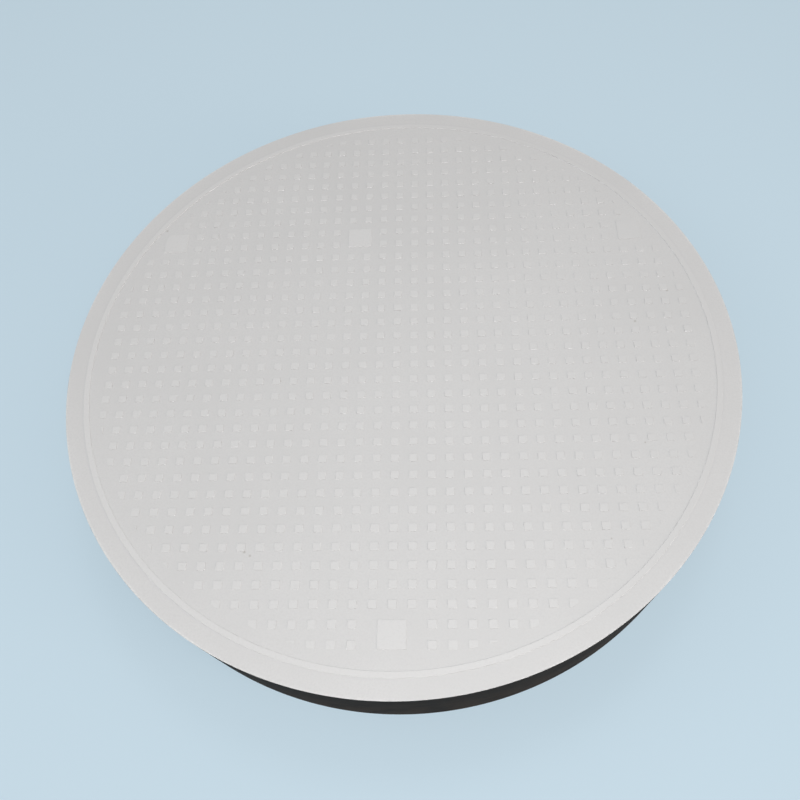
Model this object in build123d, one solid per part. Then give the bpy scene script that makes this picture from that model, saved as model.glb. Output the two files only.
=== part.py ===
from build123d import *
import os

# Aluminium nitride substrate: one thick round ceramic plate for a silicon wafer to rest on.
# Its upper face is blasted back around a square grid of low pads, a few wide pads and a ring.
# Lengths are in millimetres. The origin is the middle of the underside and Z points up.
# X runs to the right and Y away from the viewer, along the rows of pads.

# the plate
plate_radius = 98.0
plate_height = 28.0                       # underside to the tops of the pads and the ring
rim_bevel = 0.3                           # broken edge round the upper face

# the blasted face
relief = 0.3                              # height of the pads and the ring over the floor
pitch = 5.0                               # spacing of the small pads along X and Y
pad_side = 2.2
wide_pad_side = 7.2
mask_radius = 88.0                        # the mask ends here, and takes a corner off two wide pads
field_radius = 14.15 * pitch              # small pads modelled; the real grid runs on to the mask's end
ring_inner_radius = 91.2
ring_outer_radius = 92.8
mask_margin = 1.0                         # how far the blasting tool stands over the face

# three wide pads stand about 120 degrees apart near the ring, and one nearer the middle
wide_pad_places = [
    (-14.5 * pitch, 8.5 * pitch),
    (14.5 * pitch, 8.5 * pitch),
    (0.0, -16.5 * pitch),
    (-2.5 * pitch, 8.5 * pitch),
]

floor_level = plate_height - relief
clearance = (pitch - pad_side) / 2        # a small pad nearer than this to a wide one is left out


def blank_plate():
    # the turned blank: its middle and its ring are still at full height
    bevel_start = floor_level - rim_bevel
    outline = Polyline(
        (0, 0),
        (plate_radius, 0),
        (plate_radius, bevel_start),
        (plate_radius - rim_bevel, floor_level),
        (ring_outer_radius, floor_level),
        (ring_outer_radius, plate_height),
        (0, plate_height),
        close=True,
    )
    half_section = Plane.XZ * make_face(outline)
    return revolve(half_section, Axis.Z)


def small_pad_outline(x, y):
    return Wire.make_rect(pad_side, pad_side, Plane((x, y, floor_level)))


def wide_pad_outline(x, y):
    square = Plane((x, y, floor_level)) * Rectangle(wide_pad_side, wide_pad_side)
    mask = Plane((0, 0, floor_level)) * Circle(mask_radius)
    return (square & mask).face().outer_wire()


def beside_wide_pad(x, y):
    reach = (pad_side + wide_pad_side) / 2 + clearance
    return any(abs(x - wide_x) < reach and abs(y - wide_y) < reach for wide_x, wide_y in wide_pad_places)


def small_pad_places():
    # the grid has a pad at the middle of the plate
    steps = range(-int(field_radius // pitch), int(field_radius // pitch) + 1)
    places = [(column * pitch, row * pitch) for column in steps for row in steps]
    inside = [(x, y) for x, y in places if x * x + y * y <= field_radius * field_radius]
    return [(x, y) for x, y in inside if not beside_wide_pad(x, y)]


def blasting_tool():
    # what the blast takes away inside the ring: one thick sheet with a hole where each pad was masked
    pad_wires = [small_pad_outline(x, y) for x, y in small_pad_places()]
    pad_wires += [wide_pad_outline(x, y) for x, y in wide_pad_places]
    ring_wire = Wire.make_circle(ring_inner_radius, Plane((0, 0, floor_level)))
    sheet = Face(ring_wire, pad_wires)
    return extrude(sheet, amount=relief + mask_margin, dir=(0, 0, 1))


def substrate():
    return blank_plate() - blasting_tool()


os.makedirs("parts", exist_ok=True)
export_step(substrate(), "parts/substrate.step")
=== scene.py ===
import math

import bmesh
import bpy
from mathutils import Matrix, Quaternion, Vector


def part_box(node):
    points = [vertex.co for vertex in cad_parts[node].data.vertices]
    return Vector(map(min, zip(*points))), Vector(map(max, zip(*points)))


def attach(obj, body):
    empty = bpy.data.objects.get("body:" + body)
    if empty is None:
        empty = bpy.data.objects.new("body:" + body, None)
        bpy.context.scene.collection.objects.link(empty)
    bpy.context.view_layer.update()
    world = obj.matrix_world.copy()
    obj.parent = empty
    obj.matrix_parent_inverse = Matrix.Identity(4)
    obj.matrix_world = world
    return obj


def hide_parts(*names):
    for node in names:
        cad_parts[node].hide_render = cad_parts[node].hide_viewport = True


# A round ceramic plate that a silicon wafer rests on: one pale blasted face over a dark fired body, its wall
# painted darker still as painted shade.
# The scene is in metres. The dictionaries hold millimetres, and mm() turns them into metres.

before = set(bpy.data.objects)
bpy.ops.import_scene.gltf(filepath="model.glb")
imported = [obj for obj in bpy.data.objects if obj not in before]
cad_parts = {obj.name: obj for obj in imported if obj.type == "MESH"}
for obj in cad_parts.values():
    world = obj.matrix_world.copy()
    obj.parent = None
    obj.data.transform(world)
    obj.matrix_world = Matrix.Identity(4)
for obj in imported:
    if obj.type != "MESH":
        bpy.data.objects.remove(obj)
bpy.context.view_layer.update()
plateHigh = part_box("substrate")[1]


def mm(length):
    return length / 1000


def toLinear(hexColour):
    # sRGB hex to the linear values that the sockets want
    channels = [int(hexColour[start:start + 2], 16) / 255 for start in (1, 3, 5)]
    return [c / 12.92 if c <= 0.04045 else ((c + 0.055) / 1.055) ** 2.4 for c in channels] + [1.0]


def addNode(tree, kind, settings=None, links=None):
    # one node with its settings; links gives each input a value or another node's output
    node = tree.nodes.new(kind)
    for name, value in (settings or {}).items():
        setattr(node, name, value)
    for name, value in (links or {}).items():
        if isinstance(value, bpy.types.NodeSocket):
            tree.links.new(value, node.inputs[name])
        else:
            node.inputs[name].default_value = value
    return node


section = {
    "ringInner": 91.2,
    "ringOuter": 92.8,
    "rimBevel": 0.1,
    "footBevel": 0.3,
    "bevelSteps": 2,
    "turns": 390,            # faces round the plate
    "weld": 0.002,           # points nearer than this become one
    "sharpAngle": 20.0,      # degrees; edges that bend more than this stay crisp
}

# Materials

flecks = {
    "places": [              # where each fleck of dirt or tiny chip lies, and how wide it is, in mm
        (81.0, 18.8, 0.9),
        (70.2, 8.0, 0.9),
        (41.0, -6.0, 0.7),
        (-34.0, -10.0, 1.0),
        (-14.5, -13.8, 0.8),
        (-39.0, -61.3, 0.9),
        (-37.4, -62.3, 0.8),
        (-76.5, 48.0, 0.9),
        (68.0, -31.5, 0.6),
        (56.0, -58.5, 0.6),
    ],
    "colour": "#B3B1AD",
    "ragged": 0.35,          # how far fine noise pushes a fleck's edge about, in its own widths
    "raggedSize": 0.5,
    "raggedDetail": 2.0,
    "soft": (0.35, 0.75),    # dark inside the first of these, in its own widths, and clean outside the second
}

paleCeramic = {
    "floor": "#CECECE",      # where the blast has been
    "floorGrain": "#C8C8C8",
    "floorCloud": "#CBCBCB",
    "rimFloor": "#D0D0D0",
    "edge": "#DADADA",       # painted highlight: the last half millimetre is paler, standing in for the light that the rounded edge catches
    "ringShadowLine": "#CACACB",   # painted shadow: a thin darker line along the outside of the ring, all round
    "top": "#D1D1D1",        # where the mask kept the blast off
    "topPaintedShade": "#CDCDCD",   # painted shade: the same tops darker towards the right, where the light washes out their difference from the floor
    "topGrain": "#CBCBCB",
    "fade": ((0.95, 0.3, 0), 5.0, 58.0),  # painted shade: the tops darken this way across the plate, from and to these mm
    "bands": [               # floor tones, as shares of the way from the ring to the edge; the first two are the painted shadow outside the ring, the last two the painted highlight towards the rim
        (0.02, "ringShadowLine"), (0.07, "ringShadowLine"), (0.15, "floor"), (0.4, "floor"),
        (0.88, "rimFloor"), (0.93, "edge"),
    ],
    # patches: size in mm, and the noise levels where they begin and are full
    "cloud": (34.0, 0.4, 0.65),
    "grain": (0.5, 0.4, 0.75),       # the grit is about 0.1 mm; drawn coarser so that it shows at all
    "grinding": (0.7, 0.5, 0.8),
    "grainBump": (0.35, 0.02),       # strength, and depth in mm
    "floorRoughness": 0.52,
    "topRoughness": 0.5,
    "ior": 2.1,                      # sintered aluminium nitride
}

# the wall's colours: the fired skin, painted darker than it is as painted shade
firedSkinAndShade = {
    "foot": "#3A322C",
    "shadedShoulder": "#1D1A18",   # painted shade: darkest just under the pale face
    "blotch": "#211E1C",
    "turning": "#3B3530",
    "footHeight": 4.0,       # the foot's tone reaches this high; above it the colour darkens upwards, painted shade
    "blotches": (7.0, 0.45, 0.7),
    "turnings": (0.45, 0.5, 0.8),    # the marks are about 0.1 mm apart; drawn coarser so that they show
    "turningStretch": 0.03,  # they run round the plate, so their pattern is drawn out sideways
    "turningBump": (0.3, 0.03),
    "roughness": 0.7,
    "specular": 0.04,
}


def newMaterial(name):
    material = bpy.data.materials.new(name)
    material.use_nodes = True
    tree = material.node_tree
    tree.nodes.clear()
    shader = addNode(tree, "ShaderNodeBsdfPrincipled")
    addNode(tree, "ShaderNodeOutputMaterial", links={"Surface": shader.outputs[0]})
    place = addNode(tree, "ShaderNodeTexCoord").outputs["Object"]
    return material, tree, shader, place


patchNoise = {"Detail": 3.0, "Roughness": 0.55}   # how broken up the patches of every mottle are


def mottle(tree, place, under, over, patches):
    # lays soft patches of a second colour over the first; gives the mixed colour and the noise behind it
    size, begins, full = patches
    noise = addNode(tree, "ShaderNodeTexNoise", links={"Vector": place, "Scale": 1 / mm(size), **patchNoise})
    share = addNode(tree, "ShaderNodeMapRange", links={
        "Value": noise.outputs[0], "From Min": begins, "From Max": full})
    mixed = addNode(tree, "ShaderNodeMix", {"data_type": "RGBA"}, {
        "Factor": share.outputs[0], 6: under, 7: toLinear(over)})
    return mixed.outputs[2], noise.outputs[0]


def dirt(tree, place, clean):
    # every fleck is a soft dark spot round its own point of the plate, with a ragged edge
    flat = addNode(tree, "ShaderNodeVectorMath", {"operation": "MULTIPLY"}, {0: place, 1: (1, 1, 0)})
    push = addNode(tree, "ShaderNodeTexNoise", links={
        "Vector": place, "Scale": 1 / mm(flecks["raggedSize"]), "Detail": flecks["raggedDetail"]})
    dark, cleanFrom = flecks["soft"]
    spots = 0.0
    for x, y, width in flecks["places"]:
        away = addNode(tree, "ShaderNodeVectorMath", {"operation": "DISTANCE"},
                       {0: flat.outputs[0], 1: (mm(x), mm(y), 0)})
        edge = addNode(tree, "ShaderNodeMath", {"operation": "MULTIPLY_ADD"},
                       {0: push.outputs[0], 1: mm(width * flecks["ragged"]), 2: away.outputs["Value"]})
        spot = addNode(tree, "ShaderNodeMapRange", links={
            "Value": edge.outputs[0], "From Min": mm(width * dark), "From Max": mm(width * cleanFrom),
            "To Min": 1.0, "To Max": 0.0})
        spots = addNode(tree, "ShaderNodeMath", {"operation": "MAXIMUM"},
                        {0: spots, 1: spot.outputs[0]}).outputs[0]
    return addNode(tree, "ShaderNodeMix", {"data_type": "RGBA"},
                   {"Factor": spots, 6: clean, 7: toLinear(flecks["colour"])}).outputs[2]


def blastedNitride():
    # aluminium nitride roughened by grit: dry, even and matt, with faint clouds where the blast was uneven
    material, tree, shader, place = newMaterial("blastedNitride")
    flat = addNode(tree, "ShaderNodeVectorMath", {"operation": "MULTIPLY"}, {0: place, 1: (1, 1, 0)})
    radius = addNode(tree, "ShaderNodeVectorMath", {"operation": "LENGTH"}, {0: flat.outputs[0]})
    # painted shadow and highlight by radius: a thin darker line just outside the ring, and paler towards the
    # rim
    outward = addNode(tree, "ShaderNodeMapRange", links={
        "Value": radius.outputs["Value"], "From Min": mm(section["ringOuter"]), "From Max": plateHigh.x})
    bands = addNode(tree, "ShaderNodeValToRGB", links={"Fac": outward.outputs[0]})
    stops = bands.color_ramp.elements
    stops[0].color = toLinear(paleCeramic["floor"])
    stops[1].color = toLinear(paleCeramic["edge"])
    for share, colour in paleCeramic["bands"]:
        stops.new(share).color = toLinear(paleCeramic[colour])
    clouded = mottle(tree, place, bands.outputs[0], paleCeramic["floorCloud"], paleCeramic["cloud"])[0]
    grained, grain = mottle(tree, place, clouded, paleCeramic["floorGrain"], paleCeramic["grain"])
    strength, depth = paleCeramic["grainBump"]
    bump = addNode(tree, "ShaderNodeBump", links={"Strength": strength, "Distance": mm(depth), "Height": grain})
    tree.links.new(dirt(tree, place, grained), shader.inputs["Base Color"])
    tree.links.new(bump.outputs[0], shader.inputs["Normal"])
    shader.inputs["Roughness"].default_value = paleCeramic["floorRoughness"]
    shader.inputs["IOR"].default_value = paleCeramic["ior"]
    return material


def groundNitride():
    # the same ceramic ground flat and then masked: a little paler and closer than the blasted floor
    material, tree, shader, place = newMaterial("groundNitride")
    # painted shade: the tops grow darker towards the right, standing in for light that washes them out there
    direction, begins, ends = paleCeramic["fade"]
    across = addNode(tree, "ShaderNodeVectorMath", {"operation": "DOT_PRODUCT"}, {0: place, 1: direction})
    fading = addNode(tree, "ShaderNodeMapRange", links={
        "Value": across.outputs["Value"], "From Min": mm(begins), "From Max": mm(ends)})
    base = addNode(tree, "ShaderNodeMix", {"data_type": "RGBA"}, {
        "Factor": fading.outputs[0], 6: toLinear(paleCeramic["top"]), 7: toLinear(paleCeramic["topPaintedShade"])})
    ground = mottle(tree, place, base.outputs[2], paleCeramic["topGrain"], paleCeramic["grinding"])[0]
    tree.links.new(ground, shader.inputs["Base Color"])
    shader.inputs["Roughness"].default_value = paleCeramic["topRoughness"]
    shader.inputs["IOR"].default_value = paleCeramic["ior"]
    return material


def skinAndShadeOfNitride():
    # the skin that the wall and underside keep from firing, lightly turned: charcoal with a brown cast, dull;
    # its colours are painted darker than the skin, as painted shade on the wall
    material, tree, shader, place = newMaterial("skinAndShadeOfNitride")
    height = addNode(tree, "ShaderNodeSeparateXYZ", links={0: place})
    # painted shade: the wall darkens from the foot up to just under the rim
    rise = addNode(tree, "ShaderNodeMapRange", links={
        "Value": height.outputs[2], "From Min": mm(firedSkinAndShade["footHeight"]), "From Max": plateHigh.z})
    base = addNode(tree, "ShaderNodeMix", {"data_type": "RGBA"}, {
        "Factor": rise.outputs[0], 6: toLinear(firedSkinAndShade["foot"]), 7: toLinear(firedSkinAndShade["shadedShoulder"])})
    blotched = mottle(tree, place, base.outputs[2], firedSkinAndShade["blotch"], firedSkinAndShade["blotches"])[0]
    stretch = firedSkinAndShade["turningStretch"]
    drawnOut = addNode(tree, "ShaderNodeVectorMath", {"operation": "MULTIPLY"},
                       {0: place, 1: (stretch, stretch, 1)})
    turned, marks = mottle(tree, drawnOut.outputs[0], blotched, firedSkinAndShade["turning"], firedSkinAndShade["turnings"])
    strength, depth = firedSkinAndShade["turningBump"]
    bump = addNode(tree, "ShaderNodeBump", links={"Strength": strength, "Distance": mm(depth), "Height": marks})
    tree.links.new(turned, shader.inputs["Base Color"])
    tree.links.new(bump.outputs[0], shader.inputs["Normal"])
    shader.inputs["Roughness"].default_value = firedSkinAndShade["roughness"]
    shader.inputs["Specular IOR Level"].default_value = firedSkinAndShade["specular"]
    return material


finishes = {"blasted": blastedNitride(), "ground": groundNitride(), "skin": skinAndShadeOfNitride()}
print("materials made:", ", ".join(finish.name for finish in finishes.values()))


# The padded floor inside the ring

field = {
    "Pitch": 5.0,            # spacing of the small pads
    "Rows": 37,
    "Pad Side": 2.2,
    "Wide Side": 7.2,
    "Corner": 0.15,          # rounding of the pads' corners, seen from above
    "Relief": 0.12,          # height of the pads and the ring over the floor, from their faint shade
    "Softening": 0.04,       # worn upper edges
    "Border": 88.0,          # the mask ends here, and cuts the outermost pads
    "Remnant": 0.3,          # a pad with less than this inside the border is missing
    "Wide Gap": 1.4,         # a small pad nearer than this to a wide one is left out
    "Weld": 0.002,
    "Edge Cuts": 3,          # extra points on each run of an outline, where its pad may be cut by the border
    "Wide Cuts": 3,          # and on each run of a wide pad's outline
}
wideCentres = [(-14.5, 8.5), (14.5, 8.5), (0, -16.5), (-2.5, 8.5)]  # in pitches


def nearestCorner(tree, centre, side):
    # the point of a square pad that lies nearest to the middle of the plate
    outward = addNode(tree, "ShaderNodeVectorMath", {"operation": "ABSOLUTE"}, {0: centre})
    half = addNode(tree, "ShaderNodeMath", {"operation": "MULTIPLY"}, {0: side, 1: 0.5})
    inward = addNode(tree, "ShaderNodeVectorMath", {"operation": "SUBTRACT"},
                     {0: outward.outputs[0], 1: half.outputs[0]})
    corner = addNode(tree, "ShaderNodeVectorMath", {"operation": "MAXIMUM"},
                     {0: inward.outputs[0], 1: (0, 0, 0)})
    quadrant = addNode(tree, "ShaderNodeVectorMath", {"operation": "SIGN"}, {0: centre})
    return addNode(tree, "ShaderNodeVectorMath", {"operation": "MULTIPLY"},
                   {0: corner.outputs[0], 1: quadrant.outputs[0]}).outputs[0]


def keepSmallPads(tree, given):
    # true at the grid points that carry a small pad
    place = addNode(tree, "GeometryNodeInputPosition").outputs[0]
    reach = addNode(tree, "ShaderNodeVectorMath", {"operation": "LENGTH"},
                    {0: nearestCorner(tree, place, given["Pad Side"])})
    lastReach = addNode(tree, "ShaderNodeMath", {"operation": "SUBTRACT"},
                        {0: given["Border"], 1: given["Remnant"]})
    inside = addNode(tree, "FunctionNodeCompare", {"operation": "LESS_THAN"},
                     {0: reach.outputs["Value"], 1: lastReach.outputs[0]})

    nearest = addNode(tree, "GeometryNodeSampleNearest", links={"Geometry": given["Wide Centres"]})
    wide = addNode(tree, "GeometryNodeSampleIndex", {"data_type": "FLOAT_VECTOR"}, {
        "Geometry": given["Wide Centres"], "Value": place, "Index": nearest.outputs[0]})
    apart = addNode(tree, "ShaderNodeVectorMath", {"operation": "DISTANCE"}, {0: place, 1: wide.outputs[0]})
    offset = addNode(tree, "ShaderNodeVectorMath", {"operation": "SUBTRACT"}, {0: place, 1: wide.outputs[0]})
    size = addNode(tree, "ShaderNodeVectorMath", {"operation": "ABSOLUTE"}, {0: offset.outputs[0]})
    axes = addNode(tree, "ShaderNodeSeparateXYZ", links={0: size.outputs[0]})
    farther = addNode(tree, "ShaderNodeMath", {"operation": "MAXIMUM"},
                      {0: axes.outputs[0], 1: axes.outputs[1]})
    sides = addNode(tree, "ShaderNodeMath", {"operation": "ADD"}, {0: given["Pad Side"], 1: given["Wide Side"]})
    least = addNode(tree, "ShaderNodeMath", {"operation": "MULTIPLY_ADD"},
                    {0: sides.outputs[0], 1: 0.5, 2: given["Wide Gap"]})
    free = addNode(tree, "FunctionNodeCompare", {"operation": "GREATER_THAN"},
                   {0: farther.outputs[0], 1: least.outputs[0]})
    return addNode(tree, "FunctionNodeBooleanMath", {"operation": "AND"},
                   {0: inside.outputs[0], 1: free.outputs[0]}).outputs[0]


def squareOutline(tree, side, corner, cuts):
    square = addNode(tree, "GeometryNodeCurvePrimitiveQuadrilateral", links={"Width": side, "Height": side})
    rounded = addNode(tree, "GeometryNodeFilletCurve", {"mode": "POLY"},
                      {"Curve": square.outputs[0], "Count": 1, "Radius": corner})
    return addNode(tree, "GeometryNodeSubdivideCurve",
                   links={"Curve": rounded.outputs[0], "Cuts": cuts}).outputs[0]


def cutAtBorder(tree, outlines, side, given):
    # outline points beyond the border slide towards the pad's nearest corner until they lie on the border
    place = addNode(tree, "GeometryNodeInputPosition").outputs[0]
    centre = addNode(tree, "GeometryNodeFieldOnDomain", {"domain": "CURVE", "data_type": "FLOAT_VECTOR"},
                     {0: place})
    away = addNode(tree, "ShaderNodeVectorMath", {"operation": "LENGTH"}, {0: centre.outputs[0]})
    border = given["Border"]
    nearBorder = addNode(tree, "ShaderNodeMath", {"operation": "SUBTRACT"}, {0: border, 1: side})
    close = addNode(tree, "ShaderNodeMath", {"operation": "GREATER_THAN"},
                    {0: away.outputs["Value"], 1: nearBorder.outputs[0]})
    cuts = addNode(tree, "ShaderNodeMath", {"operation": "MULTIPLY"},
                   {0: close.outputs[0], 1: given["Edge Cuts"]})
    finer = addNode(tree, "GeometryNodeSubdivideCurve", links={"Curve": outlines, "Cuts": cuts.outputs[0]})

    corner = nearestCorner(tree, centre.outputs[0], side)
    arm = addNode(tree, "ShaderNodeVectorMath", {"operation": "SUBTRACT"}, {0: place, 1: corner}).outputs[0]
    armArm, cornerArm, cornerCorner = [
        addNode(tree, "ShaderNodeVectorMath", {"operation": "DOT_PRODUCT"}, {0: one, 1: other}).outputs["Value"]
        for one, other in ((arm, arm), (corner, arm), (corner, corner))]
    # the share of the arm that reaches the border, from the quadratic for where a line meets a circle
    borderSquared = addNode(tree, "ShaderNodeMath", {"operation": "MULTIPLY"}, {0: border, 1: border})
    room = addNode(tree, "ShaderNodeMath", {"operation": "SUBTRACT"},
                   {0: borderSquared.outputs[0], 1: cornerCorner})
    squared = addNode(tree, "ShaderNodeMath", {"operation": "MULTIPLY"}, {0: cornerArm, 1: cornerArm})
    under = addNode(tree, "ShaderNodeMath", {"operation": "MULTIPLY_ADD"},
                    {0: armArm, 1: room.outputs[0], 2: squared.outputs[0]})
    root = addNode(tree, "ShaderNodeMath", {"operation": "SQRT"}, {0: under.outputs[0]})
    left = addNode(tree, "ShaderNodeMath", {"operation": "SUBTRACT"}, {0: root.outputs[0], 1: cornerArm})
    share = addNode(tree, "ShaderNodeMath", {"operation": "DIVIDE"}, {0: left.outputs[0], 1: armArm})
    shorter = addNode(tree, "ShaderNodeVectorMath", {"operation": "SCALE"}, {0: arm, "Scale": share.outputs[0]})
    onBorder = addNode(tree, "ShaderNodeVectorMath", {"operation": "ADD"}, {0: corner, 1: shorter.outputs[0]})
    reach = addNode(tree, "ShaderNodeVectorMath", {"operation": "LENGTH"}, {0: place})
    beyond = addNode(tree, "FunctionNodeCompare", {"operation": "GREATER_THAN"},
                     {0: reach.outputs["Value"], 1: border})
    moved = addNode(tree, "GeometryNodeSetPosition", links={
        "Geometry": finer.outputs[0], "Selection": beyond.outputs[0], "Position": onBorder.outputs[0]})
    return moved.outputs[0]


def raisePads(tree, outlines, given):
    # a closed top on straight sides, with a narrow slope where the edge is worn; each outline is filled alone
    outline = addNode(tree, "GeometryNodeInputIndex")
    feet = addNode(tree, "GeometryNodeFillCurve", {"mode": "NGONS"}, {
        "Curve": outlines, "Group ID": outline.outputs[0]})
    straight = addNode(tree, "ShaderNodeMath", {"operation": "SUBTRACT"},
                       {0: given["Relief"], 1: given["Softening"]})
    sides = addNode(tree, "GeometryNodeExtrudeMesh", {"mode": "FACES"}, {
        "Mesh": feet.outputs[0], "Offset Scale": straight.outputs[0], "Individual": False})
    slope = addNode(tree, "GeometryNodeExtrudeMesh", {"mode": "FACES"}, {
        "Mesh": sides.outputs[0], "Selection": sides.outputs["Top"], "Offset Scale": given["Softening"],
        "Individual": False})
    area = addNode(tree, "GeometryNodeInputMeshFaceArea").outputs[0]
    width = addNode(tree, "ShaderNodeMath", {"operation": "SQRT"}, {0: area})
    loss = addNode(tree, "ShaderNodeMath", {"operation": "DIVIDE"},
                   {0: given["Softening"], 1: width.outputs[0]})
    share = addNode(tree, "ShaderNodeMath", {"operation": "MULTIPLY_ADD"},
                    {0: loss.outputs[0], 1: -2.0, 2: 1.0})
    place = addNode(tree, "GeometryNodeInputPosition").outputs[0]
    reach = addNode(tree, "ShaderNodeVectorMath", {"operation": "LENGTH"}, {0: place})
    nearBorder = addNode(tree, "ShaderNodeMath", {"operation": "SUBTRACT"},
                         {0: given["Border"], 1: given["Pad Side"]})
    uncut = addNode(tree, "FunctionNodeCompare", {"operation": "LESS_THAN"},
                    {0: reach.outputs["Value"], 1: nearBorder.outputs[0]})
    worn = addNode(tree, "FunctionNodeBooleanMath", {"operation": "AND"},
                   {0: slope.outputs["Top"], 1: uncut.outputs[0]})
    narrowed = addNode(tree, "GeometryNodeScaleElements", {"domain": "FACE"}, {
        "Geometry": slope.outputs[0], "Selection": worn.outputs[0], "Scale": share.outputs[0]})
    isTop = addNode(tree, "FunctionNodeBooleanMath", {"operation": "OR"},
                    {0: slope.outputs["Top"], 1: slope.outputs["Side"]})
    return narrowed.outputs[0], isTop.outputs[0]


def paddedFloorTree():
    tree = bpy.data.node_groups.new("paddedFloor", "GeometryNodeTree")
    tree.interface.new_socket("Wide Centres", in_out="INPUT", socket_type="NodeSocketGeometry")
    for name, value in field.items():
        kind = "NodeSocketInt" if isinstance(value, int) else "NodeSocketFloat"
        tree.interface.new_socket(name, in_out="INPUT", socket_type=kind)
    for name in ("Ring Radius", "Floor Level"):
        tree.interface.new_socket(name, in_out="INPUT", socket_type="NodeSocketFloat")
    tree.interface.new_socket("Ring Points", in_out="INPUT", socket_type="NodeSocketInt")
    for name in ("Floor Finish", "Top Finish"):
        tree.interface.new_socket(name, in_out="INPUT", socket_type="NodeSocketMaterial")
    tree.interface.new_socket("Geometry", in_out="OUTPUT", socket_type="NodeSocketGeometry")
    given = addNode(tree, "NodeGroupInput").outputs

    steps = addNode(tree, "ShaderNodeMath", {"operation": "SUBTRACT"}, {0: given["Rows"], 1: 1})
    width = addNode(tree, "ShaderNodeMath", {"operation": "MULTIPLY"}, {0: steps.outputs[0], 1: given["Pitch"]})
    grid = addNode(tree, "GeometryNodeMeshGrid", links={
        "Size X": width.outputs[0], "Size Y": width.outputs[0], "Vertices X": given["Rows"],
        "Vertices Y": given["Rows"]})
    small = addNode(tree, "GeometryNodeInstanceOnPoints", links={
        "Points": grid.outputs[0], "Selection": keepSmallPads(tree, given),
        "Instance": squareOutline(tree, given["Pad Side"], given["Corner"], 0)})
    wide = addNode(tree, "GeometryNodeInstanceOnPoints", links={
        "Points": given["Wide Centres"],
        "Instance": squareOutline(tree, given["Wide Side"], given["Corner"], given["Wide Cuts"])})
    both = addNode(tree, "GeometryNodeJoinGeometry")
    for pads, side in ((small, given["Pad Side"]), (wide, given["Wide Side"])):
        plain = addNode(tree, "GeometryNodeRealizeInstances", links={0: pads.outputs[0]})
        tree.links.new(cutAtBorder(tree, plain.outputs[0], side, given), both.inputs[0])
    outlines = both.outputs[0]

    ring = addNode(tree, "GeometryNodeCurvePrimitiveCircle", links={
        "Resolution": given["Ring Points"], "Radius": given["Ring Radius"]})
    edges = addNode(tree, "GeometryNodeJoinGeometry")
    tree.links.new(ring.outputs[0], edges.inputs[0])
    tree.links.new(outlines, edges.inputs[0])
    floor = addNode(tree, "GeometryNodeFillCurve", {"mode": "TRIANGLES"}, {"Curve": edges.outputs[0]})
    pads, isTop = raisePads(tree, outlines, given)

    joined = addNode(tree, "GeometryNodeJoinGeometry")
    tree.links.new(floor.outputs[0], joined.inputs[0])
    tree.links.new(pads, joined.inputs[0])
    welded = addNode(tree, "GeometryNodeMergeByDistance", links={
        "Geometry": joined.outputs[0], "Distance": given["Weld"]})
    height = addNode(tree, "ShaderNodeCombineXYZ", links={2: given["Floor Level"]})
    lifted = addNode(tree, "GeometryNodeTransform", links={
        "Geometry": welded.outputs[0], "Translation": height.outputs[0]})
    real = addNode(tree, "GeometryNodeRealizeInstances", links={0: lifted.outputs[0]})
    blasted = addNode(tree, "GeometryNodeSetMaterial", links={
        "Geometry": real.outputs[0], "Material": given["Floor Finish"]})
    ground = addNode(tree, "GeometryNodeSetMaterial", links={
        "Geometry": blasted.outputs[0], "Selection": isTop, "Material": given["Top Finish"]})
    addNode(tree, "NodeGroupOutput", links={0: ground.outputs[0]})
    return tree


def paddedFloor():
    # the object's own vertices are the middles of the wide pads; the tree makes the rest
    mesh = bpy.data.meshes.new("widePadCentres")
    mesh.from_pydata([(mm(x * field["Pitch"]), mm(y * field["Pitch"]), 0) for x, y in wideCentres], [], [])
    seed = bpy.data.objects.new("widePadCentres", mesh)
    bpy.context.scene.collection.objects.link(seed)
    tree = paddedFloorTree()
    values = {name: value if isinstance(value, int) else mm(value) for name, value in field.items()}
    values["Ring Radius"] = mm(section["ringInner"])
    values["Ring Points"] = section["turns"]
    values["Floor Level"] = plateHigh.z - mm(field["Relief"])
    values["Floor Finish"] = finishes["blasted"]
    values["Top Finish"] = finishes["ground"]
    modifier = seed.modifiers.new("paddedFloor", "NODES")
    modifier.node_group = tree
    for socket in tree.interface.items_tree:
        if socket.in_out == "INPUT" and socket.name in values:
            modifier[socket.identifier] = values[socket.name]
    evaluated = seed.evaluated_get(bpy.context.evaluated_depsgraph_get())
    floor = bpy.data.meshes.new_from_object(evaluated)
    bpy.data.objects.remove(seed)
    print("padded floor:", len(floor.polygons), "faces")
    return floor


# The turned body: ring, rim, wall and underside


def sectionPoints():
    # (radius, height, finish of the band that starts here), from the ring's inner foot round to the underside
    top, radius = plateHigh.z, plateHigh.x
    floor = top - mm(field["Relief"])
    soft, bevel, foot = mm(field["Softening"]), mm(section["rimBevel"]), mm(section["footBevel"])
    inner, outer = mm(section["ringInner"]), mm(section["ringOuter"])
    points = [
        (inner, floor, "blasted"),
        (inner, top - soft, "ground"),
        (inner + soft, top, "ground"),
        (outer - soft, top, "ground"),
        (outer, top - soft, "blasted"),
        (outer, floor, "blasted"),
    ]
    for step in range(section["bevelSteps"]):
        turn = math.pi / 2 * step / section["bevelSteps"]
        reach, height = radius - bevel + bevel * math.sin(turn), floor - bevel + bevel * math.cos(turn)
        points.append((reach, height, "blasted"))
    points.append((radius, floor - bevel, "skin"))
    points.append((radius, foot, "skin"))
    points.append((radius - foot, 0.0, "skin"))
    return points


def orderFinishes(mesh):
    # the tree leaves an empty slot first, so the slots are laid out again and each face keeps its own finish
    order = [finish.name for finish in finishes.values()]
    slots = [order.index(finish.name) if finish else 0 for finish in mesh.materials]
    faces = [slots[face.material_index] for face in mesh.polygons]
    mesh.materials.clear()
    for finish in finishes.values():
        mesh.materials.append(finish)
    mesh.polygons.foreach_set("material_index", faces)


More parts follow.
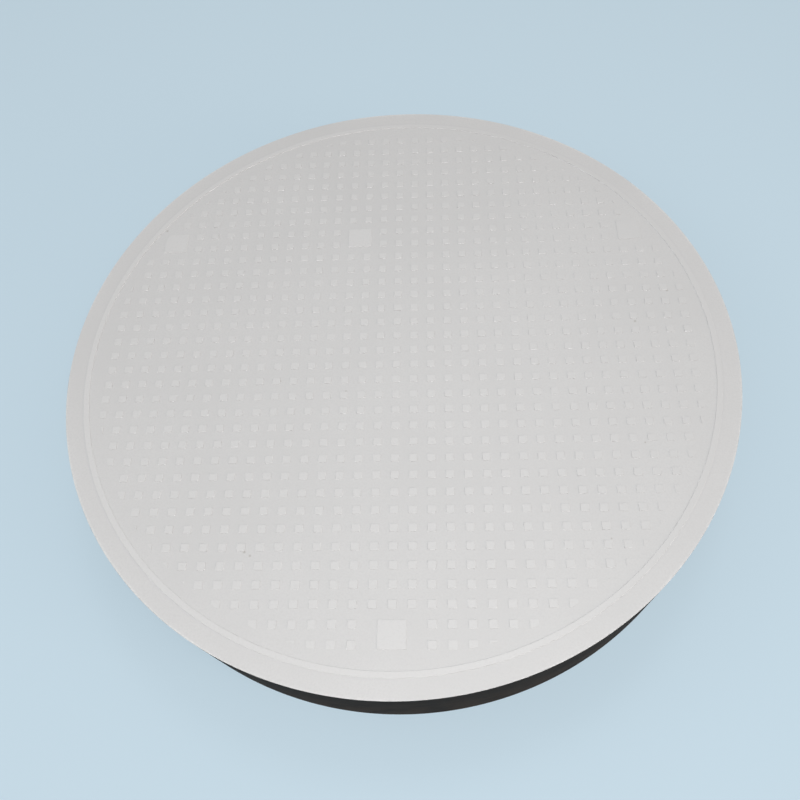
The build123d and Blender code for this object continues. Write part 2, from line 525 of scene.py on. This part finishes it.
def turnedBody(mesh):
    # bands of faces between one ring of vertices and the next, welded to the floor at the ring's foot
    slots = {name: index for index, name in enumerate(finishes)}
    turns = section["turns"]
    points = sectionPoints()
    shape = bmesh.new()
    shape.from_mesh(mesh)
    rings = []
    for radius, height, finish in points:
        angles = [2 * math.pi * turn / turns for turn in range(turns)]
        rings.append([shape.verts.new((radius * math.cos(a), radius * math.sin(a), height)) for a in angles])
    for upper, lower, point in zip(rings, rings[1:], points):
        for turn in range(turns):
            after = (turn + 1) % turns
            face = shape.faces.new((upper[turn], lower[turn], lower[after], upper[after]))
            face.material_index = slots[point[2]]
            face.smooth = True
    underside = shape.faces.new(reversed(rings[-1]))
    underside.material_index = slots["skin"]
    bmesh.ops.remove_doubles(shape, verts=shape.verts, dist=mm(section["weld"]))
    bmesh.ops.recalc_face_normals(shape, faces=shape.faces)
    open_ = [edge for edge in shape.edges if len(edge.link_faces) != 2]
    print("plate:", len(shape.faces), "faces,", len(open_), "open edges")
    shape.to_mesh(mesh)
    shape.free()


def plate():
    mesh = paddedFloor()
    orderFinishes(mesh)
    turnedBody(mesh)
    mesh.name = "plate"
    mesh.set_sharp_from_angle(angle=math.radians(section["sharpAngle"]))
    piece = bpy.data.objects.new("substratePlate", mesh)
    bpy.context.scene.collection.objects.link(piece)
    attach(piece, "root")
    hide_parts("substrate")
    return piece


plate()


# Floor, light and camera

studio = {
    "floorColour": "#C6DAE6",
    "bounceColour": "#6F6E6C",  # what the floor throws back onto the plate, darker than the paper looks
    "evenness": 0.5,         # how much of the paper's tone stays the same in light and shade
    "floorRoughness": 0.9,
    "floorSpecular": 0.1,
    "floorSize": 6000.0,
    "backdropColour": "#D2E2EC",  # what the camera sees above the paper
    "worldColour": "#FFFFFF",
    "worldStrength": 0.41,
}

lamps = {
    # name: where it stands, what it points at, its size (all mm), watts and colour
    "keySoftbox": ((50, -250, 500), (0, 0, 20), 260, 1.5, "#FFFFFF"),
    "backSoftbox": ((100, 500, 1000), (0, 0, 20), 300, 0.9, "#FFFFFF"),
    "leftSoftbox": ((-500, 0, 400), (0, 0, 20), 300, 0.3, "#FFFFFF"),
    "sideSoftbox": ((1400, -660, 380), (40, -60, 0), 600, 6.0, "#FFE9D6"),
}

shot = {
    "place": (15.15, -120.83, 218.59),
    "aim": (3.24, -22.49, 28.0),
    "roll": -7.16,           # degrees
    "lens": 34.38,
    "sensor": 36.0,
    "nearest": 5.0,          # nothing nearer than this is drawn
    "shift": (-0.0089, 0.0211),  # the photograph is cropped a little off its middle
}


def paleFloor():
    # the camera and reflections see pale paper; soft light bouncing off it meets a darker one
    size = mm(studio["floorSize"]) / 2
    mesh = bpy.data.meshes.new("studioFloor")
    corners = [(-size, -size, 0), (size, -size, 0), (size, size, 0), (-size, size, 0)]
    mesh.from_pydata(corners, [], [(0, 1, 2, 3)])
    material, tree, shader, place = newMaterial("paperFloor")
    ray = addNode(tree, "ShaderNodeLightPath").outputs
    reflected = addNode(tree, "ShaderNodeMath", {"operation": "MAXIMUM"},
                        {0: ray["Is Glossy Ray"], 1: ray["Is Transmission Ray"]})
    seen = addNode(tree, "ShaderNodeMath", {"operation": "MAXIMUM"},
                   {0: reflected.outputs[0], 1: ray["Is Camera Ray"]})
    paper, even = toLinear(studio["floorColour"]), studio["evenness"]
    shade = addNode(tree, "ShaderNodeMix", {"data_type": "RGBA"}, {
        "Factor": seen.outputs[0], 6: toLinear(studio["bounceColour"]), 7: [c * (1 - even) for c in paper]})
    glow = addNode(tree, "ShaderNodeMix", {"data_type": "RGBA"}, {
        "Factor": seen.outputs[0], 6: (0, 0, 0, 1), 7: [c * even for c in paper]})
    tree.links.new(shade.outputs[2], shader.inputs["Base Color"])
    tree.links.new(glow.outputs[2], shader.inputs["Emission Color"])
    shader.inputs["Emission Strength"].default_value = 1.0
    shader.inputs["Roughness"].default_value = studio["floorRoughness"]
    shader.inputs["Specular IOR Level"].default_value = studio["floorSpecular"]
    mesh.materials.append(material)
    floor = bpy.data.objects.new("studioFloor", mesh)
    bpy.context.scene.collection.objects.link(floor)


def aimed(item, place, aim, roll=0.0):
    # looks from place to aim, then turns about its own line of sight
    look = (Vector(aim) - Vector(place)).to_track_quat("-Z", "Y")
    item.location = place
    item.rotation_euler = (look @ Quaternion((0, 0, 1), math.radians(roll))).to_euler()
    bpy.context.scene.collection.objects.link(item)


def lights():
    world = bpy.data.worlds.new("studioAir")
    world.use_nodes = True
    background = world.node_tree.nodes["Background"]
    ray = addNode(world.node_tree, "ShaderNodeLightPath").outputs["Is Camera Ray"]
    tone = addNode(world.node_tree, "ShaderNodeMix", {"data_type": "RGBA"}, {
        "Factor": ray, 6: [c * studio["worldStrength"] for c in toLinear(studio["worldColour"])],
        7: toLinear(studio["backdropColour"])})
    world.node_tree.links.new(tone.outputs[2], background.inputs["Color"])
    bpy.context.scene.world = world
    for name, (place, aim, size, watts, colour) in lamps.items():
        lamp = bpy.data.lights.new(name, "AREA")
        lamp.shape = "SQUARE"
        lamp.size = mm(size)
        lamp.energy = watts
        lamp.color = toLinear(colour)[:3]
        aimed(bpy.data.objects.new(name, lamp), [mm(v) for v in place], [mm(v) for v in aim])


def camera():
    view = bpy.data.cameras.new("photographer")
    view.sensor_width = shot["sensor"]
    view.lens = shot["lens"]
    view.shift_x, view.shift_y = shot["shift"]
    view.clip_start = mm(shot["nearest"])
    taker = bpy.data.objects.new("photographer", view)
    aimed(taker, [mm(v) for v in shot["place"]], [mm(v) for v in shot["aim"]], shot["roll"])
    bpy.context.scene.camera = taker


paleFloor()
lights()
camera()
bpy.context.scene.view_settings.view_transform = "Standard"
print("floor, lights and camera set")
